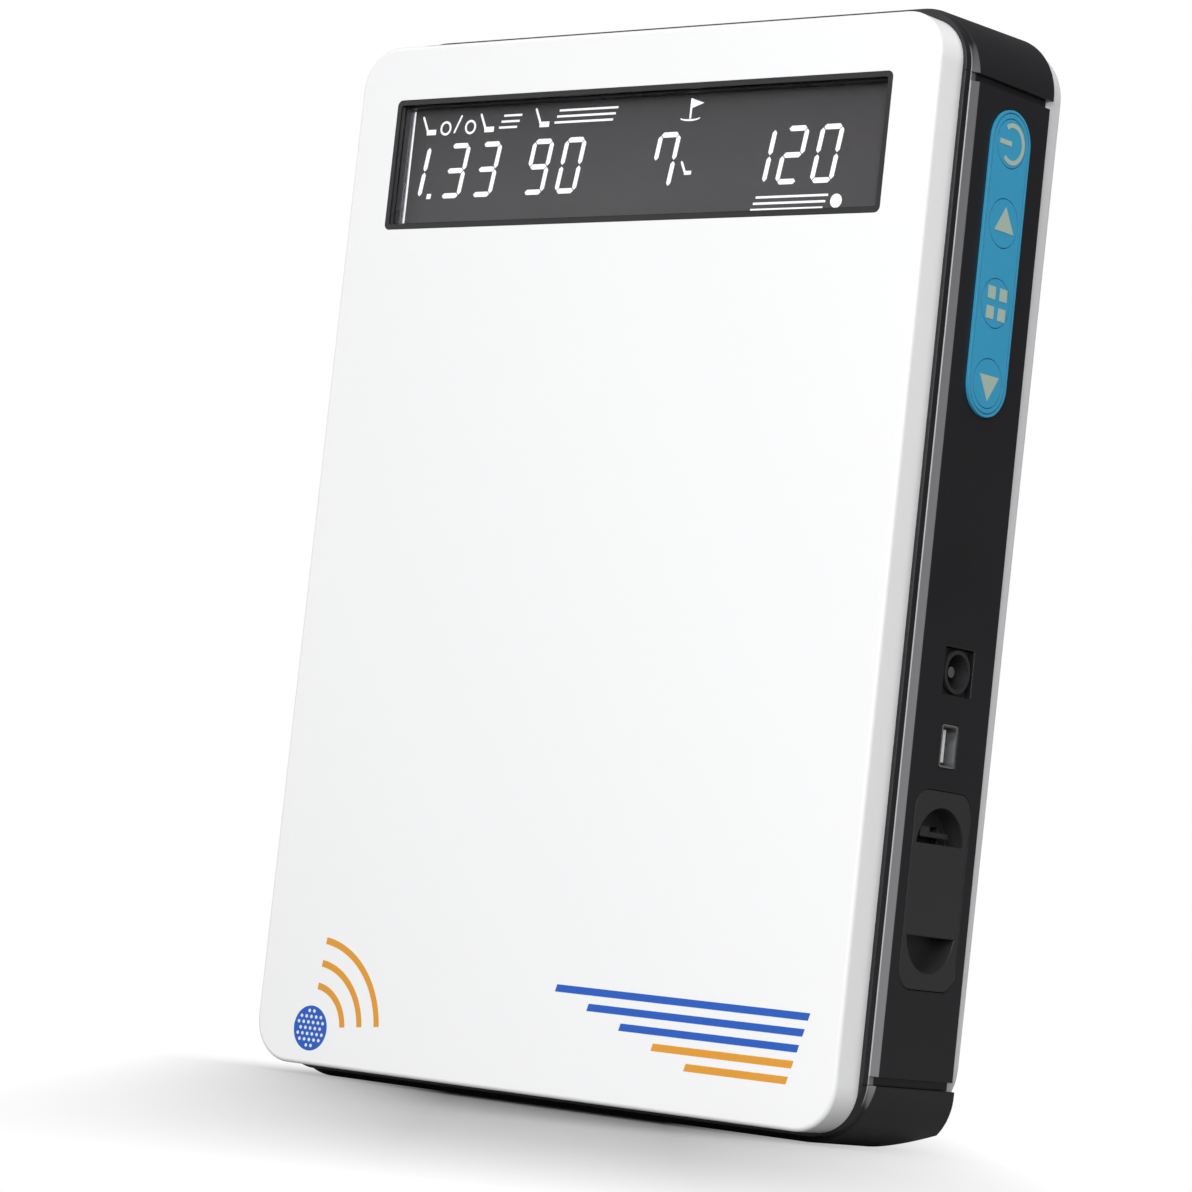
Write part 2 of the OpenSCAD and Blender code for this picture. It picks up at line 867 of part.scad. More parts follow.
// A grid of square copper antenna patches on the front of the radar board
module antenna_patches() {
    patch = 9;
    pitch = 16;
    color([0.85, 0.6, 0.3])
        for (i = [-2 : 2], j = [-1.5 : 1.5])
            span([i * pitch - patch / 2, radar_y0 - 0.2, (radar_z0 + radar_z1) / 2 + j * pitch - patch / 2],
                [i * pitch + patch / 2, radar_y0, (radar_z0 + radar_z1) / 2 + j * pitch + patch / 2]);
}

module radar_shield() {
    t = 0.4;
    color("silver")
        difference() {
            span([-shield_x, radar_y1, shield_z0], [shield_x, radar_y1 + shield_d, shield_z1]);
            span([-shield_x + t, radar_y1 - 1, shield_z0 + t],
                [shield_x - t, radar_y1 + shield_d - t, shield_z1 - t]);
        }
}

module standoffs() {
    color("goldenrod")
        for (s = [-1, 1], z = standoff_z)
            difference() {
                bar_y(s * standoff_x, z, radar_y1, main_y0, 2.25);
                bar_y(s * standoff_x, z, radar_y1 - 1, main_y0 + 1, 1.25);
            }
}

// Ribbon between the radar board and the main board
module radar_cable() {
    z1 = radar_z0 + 8;
    t = 0.3;
    color([0.9, 0.9, 0.9])
        side_slab(-20, 0)
            polygon([[radar_y1 + gap / 2, z1], [radar_y1 + gap / 2, z1 - 6], [main_y0 - gap / 2, z1 - 6],
                [main_y0 - gap / 2, z1], [main_y0 - gap / 2 - t, z1], [main_y0 - gap / 2 - t, z1 - 6 + t],
                [radar_y1 + gap / 2 + t, z1 - 6 + t], [radar_y1 + gap / 2 + t, z1]]);
}

// ---- Keypad ----

module keypad_strip() {
    color([0.25, 0.6, 0.72])
        difference() {
            union() {
                side_slab(pad_back_x, inner_x - gap / 2)
                    translate([pad_y, pad_z])
                        stadium(pad_w + 2, pad_h + 2);
                side_slab(pad_back_x, pad_face_x)
                    translate([pad_y, pad_z])
                        stadium(pad_w, pad_h);
            }
            // fine line just inside the edge
            difference() {
                side_slab(pad_face_x - 0.2, pad_face_x + 1)
                    translate([pad_y, pad_z])
                        stadium(pad_w - 1, pad_h - 1);
                side_slab(pad_face_x - 1, pad_face_x + 2)
                    translate([pad_y, pad_z])
                        stadium(pad_w - 1.4, pad_h - 1.4);
            }
            for (z = key_z)
                bar_x(pad_y, z, pad_back_x - 1, pad_face_x + 1, key_d / 2 + 0.12);
        }
}

module key(i) {
    color([0.25, 0.6, 0.72]) {
        bar_x(pad_y, key_z[i], pad_back_x - gap / 2, pad_face_x, key_d / 2);
        bar_x(pad_y, key_z[i], pad_back_x - gap / 2 - key_flange_t, pad_back_x - gap / 2, key_d / 2 + 0.7);
        bar_x(pad_y, key_z[i], key_stem_x, pad_back_x - gap / 2 - key_flange_t, 1.5);
    }
}

module power_key() {
    key(0);
}

module up_key() {
    key(1);
}

module menu_key() {
    key(2);
}

module down_key() {
    key(3);
}

module plunger(i) {
    color("white")
        bar_x(pad_y, key_z[i], switch_top_x - 1.5, plunger_top_x, plunger_d / 2);
}

module power_plunger() {
    plunger(0);
}

module up_plunger() {
    plunger(1);
}

module menu_plunger() {
    plunger(2);
}

module down_plunger() {
    plunger(3);
}

module key_switches() {
    color([0.15, 0.15, 0.15])
        for (z = key_z)
            difference() {
                span([key_board_x1, pad_y - switch_size / 2, z - switch_size / 2],
                    [switch_top_x, pad_y + switch_size / 2, z + switch_size / 2]);
                bar_x(pad_y, z, switch_top_x - 2.3, switch_top_x + 1, plunger_d / 2 + 0.06);
            }
}

module key_board() {
    color("darkgreen")
        span([key_board_x0, pad_y - key_board_w / 2, pad_z - pad_h / 2 - 1],
            [key_board_x1, pad_y + key_board_w / 2, pad_z + pad_h / 2 + 1]);
}

// ---- Sockets ----

module power_jack() {
    color([0.1, 0.1, 0.1])
        difference() {
            union() {
                span([jack_body_x - jack_len, jack_y - jack_w / 2, jack_z - jack_h / 2],
                    [jack_body_x, jack_y + jack_w / 2, jack_z + jack_h / 2]);
                bar_x(jack_y, jack_z, jack_body_x - 1, jack_nose_x, jack_d / 2);
            }
            bar_x(jack_y, jack_z, jack_nose_x - jack_bore_len, jack_nose_x + 1, jack_bore_d / 2);
            bar_x(jack_y, jack_z, jack_body_x - jack_len + 1, jack_nose_x, jack_pin_d / 2 + 0.02);
        }
}

module power_jack_pin() {
    color("silver")
        bar_x(jack_y, jack_z, jack_body_x - jack_len + 1.1, jack_pin_x, jack_pin_d / 2);
}

module usb_shell() {
    color("silver")
        difference() {
            side_slab(usb_front_x - usb_len, usb_front_x)
                translate([usb_y, usb_z])
                    rounded(usb_w, usb_h, 0.5);
            side_slab(usb_front_x - usb_len + usb_wall, usb_front_x + 1)
                translate([usb_y, usb_z])
                    rounded(usb_w - 2 * usb_wall, usb_h - 2 * usb_wall, 0.2);
        }
}

module usb_tongue() {
    color([0.8, 0.8, 0.8])
        side_slab(usb_front_x - usb_len + usb_wall + 0.05, usb_front_x - 0.9)
            translate([usb_y - 0.65, usb_z])
                square([1.5, usb_h - 2 * usb_wall - 1.1], center = true);
}

// ---- Battery drawer ----

module battery_bay() {
    iw = drawer_w + 2 * slide_gap;
    ih = drawer_h + 2 * slide_gap;
    color([0.15, 0.15, 0.16])
        difference() {
            side_slab(bay_x0 - bay_wall, bay_x1)
                translate([0, drawer_z])
                    square([iw + 2 * bay_wall, ih + 2 * bay_wall], center = true);
            side_slab(bay_x0, bay_x1 + 1)
                translate([0, drawer_z])
                    square([iw, ih], center = true);
            // slots for the contact tails
            for (s = [-1, 1])
                span([bay_x0 - bay_wall - 1, -2.6, drawer_z + s * cell_pitch / 2 - 1],
                    [bay_x0 + 1, 2.6, drawer_z + s * cell_pitch / 2 + 1]);
        }
}

// Two sprung contact plates on the bay's end wall, each with a tail through the wall
module bay_contacts() {
    color("silver")
        for (s = [-1, 1])
            translate([0, 0, drawer_z + s * cell_pitch / 2]) {
                span([bay_x0 + 0.05, -4.5, -5], [bay_x0 + 0.45, 4.5, 5]);
                bar_x(0, 0, bay_x0 + 0.3, cell_x0 - cell_nub - 0.15, 1.6);
                span([bay_x0 - bay_wall - 2.5, -2.4, -0.3], [bay_x0 + 0.2, 2.4, 0.3]);
            }
}

module battery_leads() {
    x = bay_x0 - bay_wall - 3.4;
    color("crimson")
        for (s = [-1, 1])
            translate([x, s * 0.75, drawer_z + s * cell_pitch / 2 - 1])
                cylinder(h = main_z0 + 3 - drawer_z - s * cell_pitch / 2, r = 0.7);
}

module battery_drawer() {
    face_x0 = drawer_face_x - pocket_d;
    color([0.13, 0.13, 0.14])
        difference() {
            side_slab(tray_x0, drawer_face_x)
                translate([0, drawer_z])
                    rounded(drawer_w, drawer_h, drawer_r);
            // two half-moon finger pockets, above and below the flat grip
            difference() {
                side_slab(face_x0, drawer_face_x + 1)
                    translate([0, drawer_z])
                        stadium(pocket_w, pocket_h);
                span([face_x0 - 1, -drawer_w, drawer_z - grip_h / 2],
                    [drawer_face_x + 2, drawer_w, drawer_z + grip_h / 2]);
            }
            // room for the cells, open at the back
            span([cell_x0 - 2, -cell_d / 2 - gap, drawer_z - cell_pitch / 2 - cell_d / 2 - gap],
                [tray_x1 - tray_front_wall, drawer_w, drawer_z + cell_pitch / 2 + cell_d / 2 + gap]);
            // room for the latch carriage behind the upper pocket, and for its spring
            span([tray_x1, -latch_w / 2 - gap, latch_z0 - 2.2 - latch_travel],
                [tray_x1 + latch_room, latch_w / 2 + gap, drawer_z + drawer_h / 2 + 1]);
            translate([(latch_x0 + latch_x1) / 2, 0, spring_z0])
                cylinder(h = 20, r = 1.3);
            // slot that the latch's ledge moves in
            span([tray_x1 + latch_room - 1, -latch_w / 2 - gap, latch_z0 - latch_travel - gap],
                [face_x0 + 1, latch_w / 2 + gap, latch_z0 + 1.9 + gap]);
        }
}

// Plate that joins the two cells at the drawer's front end
module drawer_contact() {
    color("silver") {
        span([cell_x1 + 0.75, -5, drawer_z - 12], [cell_x1 + 1.15, 5, drawer_z + 12]);
        for (s = [-1, 1])
            bar_x(0, drawer_z + s * cell_pitch / 2, cell_x1 + 0.1, cell_x1 + 0.8, 2);
    }
}

// Two cells side by side, one turned end for end
module battery_cells() {
    color([0.75, 0.45, 0.2])
        for (s = [-1, 1])
            translate([0, 0, drawer_z + s * cell_pitch / 2]) {
                bar_x(0, 0, cell_x0, cell_x1, cell_d / 2);
                bar_x(0, 0, cell_x0 - cell_nub, cell_x0 + 1, 2.75);
            }
}

module drawer_latch() {
    z0 = latch_z0 - 2;
    color([0.3, 0.3, 0.32]) {
        span([latch_x0, -latch_w / 2, z0], [latch_x1, latch_w / 2, z0 + latch_carriage_h]);
        span([latch_x0, -3, z0 + latch_carriage_h - 1], [latch_x1, 3, latch_top_z]);
        span([latch_x1 - eps, -latch_w / 2, latch_z0],
            [drawer_face_x - 1.6, latch_w / 2, latch_z0 + latch_ledge_t]);
        span([latch_x1 - eps, -latch_w / 2, latch_z0],
            [drawer_face_x - 1.2, -latch_w / 2 + 2.6, latch_z0 + 1.9]);
    }
}

// Small coil spring that pushes the latch up
module latch_spring() {
    z1 = latch_z0 - 2 - 0.05;
    color("silver")
        translate([(latch_x0 + latch_x1) / 2, 0, spring_z0 + 0.3])
            linear_extrude(height = z1 - spring_z0 - 0.3, twist = -360 * spring_turns,
                slices = spring_turns * 14, $fn = 8)
                translate([0.8, 0])
                    circle(r = 0.25);
}

// ---- Stand ----

module stand() {
    foot_z = stand_axis_z - stand_h + stand_foot_h;
    color([0.8, 0.8, 0.8])
        difference() {
            union() {
                slab(stand_y0, stand_y0 + stand_t)
                    difference() {
                        translate([-stand_w / 2, foot_z])
                            square([stand_w, stand_h - stand_foot_h - 0.2]);
                        translate([0, foot_z + stand_h / 2 - 2])
                            rounded(stand_w - 22, stand_h - 36, 5);
                    }
                bar_x(stand_axis_y, stand_axis_z, -stand_w / 2, stand_w / 2, barrel_r);
            }
            bar_x(stand_axis_y, stand_axis_z, -stand_w, stand_w, pin_r + 0.05);
        }
}

module stand_pin() {
    reach = stand_w / 2 + gap * 5 + ear - 0.5;
    color("silver")
        bar_x(stand_axis_y, stand_axis_z, -reach, reach, pin_r);
}

module stand_foot() {
    foot_z = stand_axis_z - stand_h + stand_foot_h;
    color([0.1, 0.1, 0.1])
        side_slab(-stand_w / 2 + 8, stand_w / 2 - 8) {
            translate([stand_y0, foot_z - stand_foot_h + stand_t / 2])
                square([stand_t, stand_foot_h - stand_t / 2]);
            translate([stand_y0 + stand_t / 2, foot_z - stand_foot_h + stand_t / 2])
                circle(d = stand_t);
        }
}

front_cover();
window_bezel();
window_lens();
top_cap();
bottom_cap();
right_panel();
left_panel();
chassis();
rear_cover();
front_screws();
rear_screws();
lcd_frame();
lcd_glass();
backlight();
display_board();
lcd_flex();
display_cable();
radar_board();
antenna_patches();
radar_shield();
standoffs();
board_screws();
main_board();
main_chips();
wireless_module();
radar_cable();
keypad_strip();
power_key();
up_key();
menu_key();
down_key();
power_plunger();
up_plunger();
menu_plunger();
down_plunger();
key_switches();
key_board();
power_jack();
power_jack_pin();
usb_shell();
usb_tongue();
battery_bay();
bay_contacts();
battery_leads();
battery_drawer();
drawer_contact();
battery_cells();
drawer_latch();
latch_spring();
stand();
stand_pin();
stand_foot();
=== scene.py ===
import json
import math
from collections import namedtuple
import bpy
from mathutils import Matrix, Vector

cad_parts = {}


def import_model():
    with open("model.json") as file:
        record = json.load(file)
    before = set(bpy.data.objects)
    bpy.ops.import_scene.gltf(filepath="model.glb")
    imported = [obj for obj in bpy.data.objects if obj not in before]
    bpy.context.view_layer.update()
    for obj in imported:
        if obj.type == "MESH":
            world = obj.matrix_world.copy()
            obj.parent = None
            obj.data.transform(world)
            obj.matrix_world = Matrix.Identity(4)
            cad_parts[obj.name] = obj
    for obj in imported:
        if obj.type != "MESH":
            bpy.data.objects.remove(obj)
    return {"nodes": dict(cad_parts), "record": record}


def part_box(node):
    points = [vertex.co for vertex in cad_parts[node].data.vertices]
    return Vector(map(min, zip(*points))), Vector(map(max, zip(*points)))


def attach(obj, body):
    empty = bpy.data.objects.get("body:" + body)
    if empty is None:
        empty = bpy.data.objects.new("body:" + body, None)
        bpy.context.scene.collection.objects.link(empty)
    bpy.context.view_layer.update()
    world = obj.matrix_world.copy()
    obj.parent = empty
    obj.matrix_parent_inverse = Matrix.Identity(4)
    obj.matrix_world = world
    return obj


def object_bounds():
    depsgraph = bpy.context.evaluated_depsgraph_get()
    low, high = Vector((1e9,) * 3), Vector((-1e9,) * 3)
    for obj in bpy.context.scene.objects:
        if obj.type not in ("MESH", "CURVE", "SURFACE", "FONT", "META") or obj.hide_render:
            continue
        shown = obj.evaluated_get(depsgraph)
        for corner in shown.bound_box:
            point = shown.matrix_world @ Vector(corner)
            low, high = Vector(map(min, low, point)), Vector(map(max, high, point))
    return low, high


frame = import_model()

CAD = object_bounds()
NODES = frame["nodes"]
MM = 0.001
PRINT_T = 0.02
ICON_T = 0.05
INK_T = 0.03
VIEW_TURN = 39.65
FLOOR_REACH = 30.0
Finish = namedtuple("Finish", "mat nt bsdf coords xyz tint")


# ---- Node helpers ----

def new_material(name):
    mat = bpy.data.materials.new(name)
    mat.use_nodes = True
    nt = mat.node_tree
    nt.nodes.clear()
    out = nt.nodes.new("ShaderNodeOutputMaterial")
    bsdf = nt.nodes.new("ShaderNodeBsdfPrincipled")
    nt.links.new(bsdf.outputs[0], out.inputs[0])
    return mat, nt, bsdf


def place(nt):
    """Object coordinates in metres, whole and split in x, y and z."""
    tc = nt.nodes.new("ShaderNodeTexCoord")
    sep = nt.nodes.new("ShaderNodeSeparateXYZ")
    nt.links.new(tc.outputs["Object"], sep.inputs[0])
    return tc.outputs["Object"], sep.outputs


def math_node(nt, op, a, b=0.0, clamp=False):
    n = nt.nodes.new("ShaderNodeMath")
    n.operation = op
    n.use_clamp = clamp
    for i, v in enumerate((a, b)):
        if isinstance(v, (int, float)):
            n.inputs[i].default_value = v
        else:
            nt.links.new(v, n.inputs[i])
    return n.outputs[0]


def times(nt, first, *others):
    """The product of two or more values."""
    for v in others:
        first = math_node(nt, "MULTIPLY", first, v)
    return first


def ramp(nt, value, a, b, low=0.0, high=1.0):
    """low where value is a, high where it is b, clamped outside."""
    n = nt.nodes.new("ShaderNodeMapRange")
    n.inputs[1].default_value, n.inputs[2].default_value = a, b
    n.inputs[3].default_value, n.inputs[4].default_value = low, high
    nt.links.new(value, n.inputs[0])
    return n.outputs[0]


def between(nt, value, low, high, soft):
    """1 between low and high, fading to 0 outside over the width soft."""
    up = ramp(nt, value, low - soft, low + soft)
    down = ramp(nt, value, high - soft, high + soft, 1.0, 0.0)
    return times(nt, up, down)


def mix(nt, fac, a, b):
    n = nt.nodes.new("ShaderNodeMix")
    n.data_type = "RGBA"
    for i, v in ((0, fac), (6, a), (7, b)):
        if isinstance(v, (int, float)):
            n.inputs[i].default_value = v
        elif isinstance(v, tuple):
            n.inputs[i].default_value = (*v, 1.0)
        else:
            nt.links.new(v, n.inputs[i])
    return n.outputs[2]


def noise(nt, coords, scale, detail=2.0, stretch=(1, 1, 1)):
    m = nt.nodes.new("ShaderNodeMapping")
    m.inputs["Scale"].default_value = stretch
    n = nt.nodes.new("ShaderNodeTexNoise")
    n.inputs["Scale"].default_value = scale
    n.inputs["Detail"].default_value = detail
    nt.links.new(coords, m.inputs[0])
    nt.links.new(m.outputs[0], n.inputs["Vector"])
    return n.outputs[0]


def bump(nt, bsdf, height, depth, strength=1.0):
    n = nt.nodes.new("ShaderNodeBump")
    n.inputs["Strength"].default_value = strength
    n.inputs["Distance"].default_value = depth
    nt.links.new(height, n.inputs["Height"])
    nt.links.new(n.outputs[0], bsdf.inputs["Normal"])
    return n


def soft_edges(nt, bumped, radius):
    """Rounds the sharp edges of a part in its shading, under its grain."""
    n = nt.nodes.new("ShaderNodeBevel")
    n.samples = 4
    n.inputs[0].default_value = radius
    nt.links.new(n.outputs[0], bumped.inputs["Normal"])


def repaint(f, colour):
    """Puts another colour in the place of a finish's own."""
    f.nt.links.new(colour, f.bsdf.inputs["Base Color"])


def finish_of(name, colour, rough, metal=0.0, grain=1800, depth=0.02, mottle=0.06,
              coat=0.0, stretch=(1, 1, 1), edge=0.0, sheen=0.0):
    """A base finish: fine grain in the bump, slow changes in the colour and the roughness."""
    mat, nt, bsdf = new_material(name)
    coords, xyz = place(nt)
    fine = noise(nt, coords, grain, 3.0, stretch)
    slow = noise(nt, coords, 45, 3.0)
    dark = tuple(c * (1 - mottle) for c in colour)
    tint = mix(nt, slow, dark, colour)
    nt.links.new(tint, bsdf.inputs["Base Color"])
    nt.links.new(ramp(nt, slow, 0.3, 0.7, rough * 0.88, rough * 1.12), bsdf.inputs["Roughness"])
    bsdf.inputs["Metallic"].default_value = metal
    bsdf.inputs["Coat Weight"].default_value = coat
    bsdf.inputs["Coat Roughness"].default_value = 0.12
    bsdf.inputs["Sheen Weight"].default_value = sheen
    bumped = bump(nt, bsdf, fine, depth * MM)
    if edge:
        soft_edges(nt, bumped, edge * MM)
    return Finish(mat, nt, bsdf, coords, xyz, tint)


# ---- Materials ----

def white_cover():
    """Glossy moulded white with a faint ripple."""
    return finish_of("white_cover", (0.90, 0.90, 0.905), 0.34, grain=2400, depth=0.004, mottle=0.004,
                     coat=0.12).mat


def black_shell():
    """Semi-gloss black band; its bevel is painted grey, partly a satin grey trim and partly a painted
    reflection that is lighter towards the bottom, with a thin painted highlight along its front.
    """
    f = finish_of("black_shell", (0.013, 0.013, 0.015), 0.33, grain=2600, depth=0.012, mottle=0.25, edge=0.35)
    lo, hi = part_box("right_panel")
    y0, z0, z1 = lo.y, lo.z, hi.z
    bevel = between(f.nt, f.xyz[1], y0 + 1.72 * MM, y0 + 3.05 * MM, 0.06 * MM)
    side = ramp(f.nt, math_node(f.nt, "ABSOLUTE", f.xyz[0]), hi.x - 2.2 * MM, hi.x - 1.6 * MM)
    ends = between(f.nt, f.xyz[2], z0 - 4 * MM, z1 + 4 * MM, 4 * MM)
    # The bevel's grey is partly a satin grey trim and partly a painted reflection of the bright surround; it
    # is lighter towards the bottom as painted reflection.
    grey = mix(f.nt, ramp(f.nt, f.xyz[2], z0, z1), (0.22, 0.22, 0.225), (0.125, 0.125, 0.13))
    base = mix(f.nt, times(f.nt, bevel, side, ends), f.tint, grey)
    # A thin bright strip in front of the bevel is a painted highlight, where the edge would catch the light.
    painted_highlight_mask = between(f.nt, f.xyz[1], y0 + 1.52 * MM, y0 + 1.74 * MM, 0.05 * MM)
    repaint(f, mix(f.nt, times(f.nt, painted_highlight_mask, side, ends), base, (0.62, 0.62, 0.63)))
    return f.mat


def grey_shell():
    """Satin light grey with a fine spark-eroded texture."""
    return finish_of("grey_shell", (0.68, 0.68, 0.69), 0.5, grain=1500, depth=0.03, mottle=0.04, edge=0.3).mat


def drawer_black():
    """Matt black moulding with a fine grain and lightly rubbed edges."""
    return finish_of("drawer_black", (0.028, 0.028, 0.030), 0.42, grain=2400, depth=0.03, mottle=0.2,
                     edge=0.4).mat


def inner_black():
    return finish_of("inner_black", (0.022, 0.022, 0.024), 0.6, grain=1600, depth=0.04, mottle=0.2).mat


def bezel_black():
    """Black window frame; the left inner face of its opening faces right and gets a painted light grey with
    faint streaks, seen through the lens.
    """
    f = finish_of("bezel_black", (0.008, 0.008, 0.009), 0.3, grain=2500, depth=0.01, mottle=0.2)
    geo = f.nt.nodes.new("ShaderNodeNewGeometry")
    sep = f.nt.nodes.new("ShaderNodeSeparateXYZ")
    f.nt.links.new(geo.outputs["Normal"], sep.inputs[0])
    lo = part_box("window_bezel")[0]
    # Mask of the opening's left inner face, which faces the key light: the painted light grey goes there.
    painted_light_mask = times(f.nt, ramp(f.nt, sep.outputs[0], 0.6, 0.9),
                 ramp(f.nt, f.xyz[1], lo.y + 0.3 * MM, lo.y + 0.5 * MM),
                 ramp(f.nt, f.xyz[0], 0.0, 1 * MM, 1.0, 0.0))
    streak = noise(f.nt, f.coords, 300, 3.0, (1, 1, 0.15))
    grey = mix(f.nt, streak, (0.06, 0.06, 0.065), (0.16, 0.16, 0.17))
    repaint(f, mix(f.nt, painted_light_mask, f.tint, grey))
    return f.mat


def clear_window():
    """Thin clear lens: mostly see-through, with a weak polished reflection and faint smears."""
    mat, nt, bsdf = new_material("clear_window")
    coords = place(nt)[0]
    out = nt.nodes["Material Output"]
    clear = nt.nodes.new("ShaderNodeBsdfTransparent")
    clear.inputs[0].default_value = (0.93, 0.93, 0.935, 1)
    shade = nt.nodes.new("ShaderNodeMixShader")
    fresnel = nt.nodes.new("ShaderNodeFresnel")
    fresnel.inputs[0].default_value = 1.3
    smear = ramp(nt, noise(nt, coords, 60, 3.0, (1, 1, 3)), 0.35, 0.7, 0.04, 0.16)
    bsdf.inputs["Base Color"].default_value = (0.02, 0.02, 0.02, 1)
    nt.links.new(smear, bsdf.inputs["Roughness"])
    # the pane's inner side reflects nothing, so that it stays clear from every angle
    side = nt.nodes.new("ShaderNodeNewGeometry")
    outer = math_node(nt, "SUBTRACT", 1.0, side.outputs["Backfacing"])
    nt.links.new(times(nt, fresnel.outputs[0], outer), shade.inputs[0])
    nt.links.new(clear.outputs[0], shade.inputs[1])
    nt.links.new(bsdf.outputs[0], shade.inputs[2])
    nt.links.new(shade.outputs[0], out.inputs[0])
    return mat


def lcd_dark():
    """Dark display glass, a little lighter towards the bottom as painted light, with soft vertical shading.
    """
    f = finish_of("lcd_dark", (0.07, 0.067, 0.069), 0.4, grain=900, depth=0.004, mottle=0.03)
    lo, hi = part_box("lcd_glass")
    # Lighter towards the bottom of the glass: painted light.
    painted_light_bottom = ramp(f.nt, f.xyz[2], lo.z, hi.z, 1.0, 0.0)
    fold = ramp(f.nt, noise(f.nt, f.coords, 18, 2.0, (1, 1, 0.2)), 0.4, 0.6, 0.0, 0.35)
    shade = mix(f.nt, painted_light_bottom, (0.095, 0.090, 0.092), (0.135, 0.130, 0.132))
    repaint(f, mix(f.nt, fold, shade, (0.080, 0.076, 0.078)))
    f.bsdf.inputs["Specular IOR Level"].default_value = 0.15
    return f.mat


def display_ink():
    """Lit white display segments, slightly uneven in their glow."""
    f = finish_of("display_ink", (0.85, 0.85, 0.85), 0.5, grain=3000, depth=0.005, mottle=0.05)
    f.nt.links.new(f.tint, f.bsdf.inputs["Emission Color"])
    f.bsdf.inputs["Emission Strength"].default_value = 0.75
    return f.mat


def blue_rubber():
    """Satin blue silicone with a fine skin."""
    return finish_of("blue_rubber", (0.022, 0.33, 0.56), 0.5, grain=2200, depth=0.03, mottle=0.1, edge=0.3,
                     sheen=0.1).mat


def icon_print():
    return finish_of("icon_print", (0.42, 0.52, 0.44), 0.55, grain=3200, depth=0.02, mottle=0.08).mat


def printed(name, colour):
    """Ink on the front cover, slightly uneven in density."""
    return finish_of(name, colour, 0.38, grain=2600, depth=0.008, mottle=0.08, coat=0.15).mat


def white_moulding():
    return finish_of("white_moulding", (0.72, 0.72, 0.70), 0.45, grain=1800, depth=0.03, mottle=0.05).mat


def light_guide():
    return finish_of("light_guide", (0.80, 0.81, 0.78), 0.3, grain=700, depth=0.01, mottle=0.03).mat


def board_green():
    """Solder mask over a faint lattice of copper tracks."""
    f = finish_of("board_green", (0.012, 0.075, 0.038), 0.32, grain=1200, depth=0.01, mottle=0.2, coat=0.3)
    cells = f.nt.nodes.new("ShaderNodeTexVoronoi")
    cells.distance = "MANHATTAN"
    cells.inputs["Scale"].default_value = 260
    f.nt.links.new(f.coords, cells.inputs["Vector"])
    track = between(f.nt, cells.outputs[0], 0.42, 0.5, 0.015)
    repaint(f, mix(f.nt, track, f.tint, (0.03, 0.16, 0.07)))
    return f.mat


def chip_black():
    return finish_of("chip_black", (0.018, 0.018, 0.018), 0.62, grain=3500, depth=0.03, mottle=0.15).mat


def brushed(name, colour, rough, stretch):
    """Metal with fine drawn lines along one direction."""
    return finish_of(name, colour, rough, 1.0, grain=1500, depth=0.01, mottle=0.1, stretch=stretch).mat


def flex_amber():
    return finish_of("flex_amber", (0.36, 0.15, 0.03), 0.35, grain=900, depth=0.02, mottle=0.15, coat=0.2).mat


def ribbon_white():
    """Flat cable: fine conductors side by side."""
    f = finish_of("ribbon_white", (0.68, 0.68, 0.66), 0.45, grain=1200, depth=0.02, mottle=0.05)
    wave = f.nt.nodes.new("ShaderNodeTexWave")
    wave.bands_direction = "X"
    wave.inputs["Scale"].default_value = 320
    f.nt.links.new(f.coords, wave.inputs["Vector"])
    repaint(f, mix(f.nt, ramp(f.nt, wave.outputs[1], 0.6, 0.9), f.tint, (0.42, 0.42, 0.42)))
    return f.mat


def wire_red():
    return finish_of("wire_red", (0.38, 0.02, 0.02), 0.4, grain=1500, depth=0.02, mottle=0.1).mat


def cell_wrap():
    """Cell sleeve: dark body with a coppery band at one end."""
    f = finish_of("cell_wrap", (0.03, 0.03, 0.035), 0.25, grain=900, depth=0.01, mottle=0.15, coat=0.4)
    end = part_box("battery_cells")[1].x
    band = ramp(f.nt, f.xyz[0], end - 15 * MM, end - 14.8 * MM)
    repaint(f, mix(f.nt, band, f.tint, (0.55, 0.27, 0.10)))
    return f.mat


def foot_rubber():
    return finish_of("foot_rubber", (0.02, 0.02, 0.02), 0.75, grain=2600, depth=0.06, mottle=0.2).mat


MATERIAL_OF_SLOT = {
    "white_shell": white_cover(), "black_shell": black_shell(), "grey_shell": grey_shell(),
    "black_plastic": inner_black(), "window_clear": clear_window(), "lcd_dark": lcd_dark(),
    "light_guide": light_guide(), "blue_rubber": blue_rubber(), "white_plastic": white_moulding(),
    "board_green": board_green(), "chip_black": chip_black(),
    "copper": brushed("copper", (0.80, 0.48, 0.26), 0.3, (1, 1, 1)),
    "brass": brushed("brass", (0.72, 0.53, 0.22), 0.28, (1, 0.1, 1)),
    "steel": brushed("steel", (0.50, 0.51, 0.53), 0.3, (0.1, 1, 1)),
    "tin_plate": brushed("tin_plate", (0.68, 0.69, 0.71), 0.28, (1, 1, 0.1)),
    "flex_amber": flex_amber(), "ribbon_white": ribbon_white(), "wire_red": wire_red(),
    "cell_wrap": cell_wrap(), "foot_rubber": foot_rubber(),
}
DRAWER = drawer_black()
BEZEL = bezel_black()
INK = display_ink()
ICON = icon_print()
BLUE = printed("blue_print", (0.006, 0.10, 0.52))
ORANGE = printed("orange_print", (0.78, 0.33, 0.02))
WHITE_INK = printed("white_print", (0.80, 0.82, 0.86))


def dress(obj, mat):
    obj.data.materials.clear()
    obj.data.materials.append(mat)


def dress_nodes():
    own = {"battery_drawer": DRAWER, "drawer_latch": DRAWER, "window_bezel": BEZEL}
    for part in frame["record"]["subparts"]:
        name = part["node"]
        dress(NODES[name], own.get(name, MATERIAL_OF_SLOT[part["material_slot"]]))


# ---- Flat printed shapes ----

